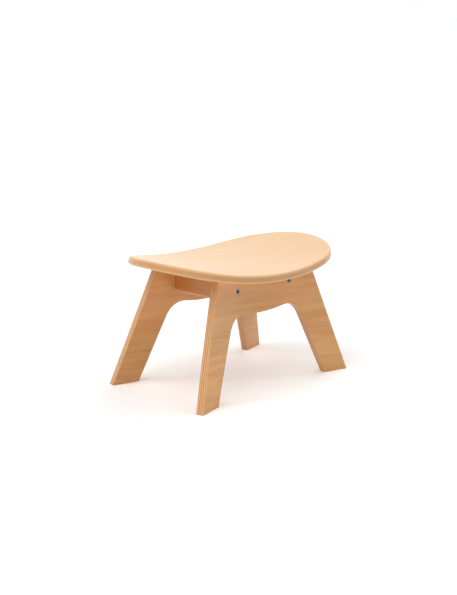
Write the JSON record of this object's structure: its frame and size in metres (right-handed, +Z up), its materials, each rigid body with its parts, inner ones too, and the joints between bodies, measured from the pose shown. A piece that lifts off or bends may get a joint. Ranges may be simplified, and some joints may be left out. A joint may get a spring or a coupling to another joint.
{
  "type": "low saddle stool",
  "caption": "Low stool with an oval hollow seat of bent plywood on two bent, splayed leg panels joined by cross rails under the seat.",
  "frame": {"origin": "on the floor under the middle of the stool", "axes": "+X along the seat's length, +Y from the front leg panel to the rear one, +Z up"},
  "size_m": [0.4314, 0.282, 0.2565],
  "materials": {
    "seat_ply": "clear satin lacquer on beech veneer",
    "leg_ply": "clear satin lacquer on beech veneer",
    "rail_beech": "clear satin lacquer on solid beech",
    "dowel_beech": "plain turned beech",
    "bolt_steel": "zinc plated",
    "nut_steel": "zinc plated",
    "screw_steel": "yellow zinc plated"
  },
  "bodies": {
    "root": {"seat": "seat_ply", "front_leg_panel": "leg_ply", "rear_leg_panel": "leg_ply", "left_rail": "rail_beech", "right_rail": "rail_beech", "front_left_bolt": "bolt_steel", "front_right_bolt": "bolt_steel", "rear_left_bolt": "bolt_steel", "rear_right_bolt": "bolt_steel", "front_left_barrel_nut": "nut_steel", "front_right_barrel_nut": "nut_steel", "rear_left_barrel_nut": "nut_steel", "rear_right_barrel_nut": "nut_steel", "front_left_dowel": "dowel_beech", "front_right_dowel": "dowel_beech", "rear_left_dowel": "dowel_beech", "rear_right_dowel": "dowel_beech", "front_left_seat_screw": "screw_steel", "front_right_seat_screw": "screw_steel", "rear_left_seat_screw": "screw_steel", "rear_right_seat_screw": "screw_steel"}
  },
  "joints": []
}
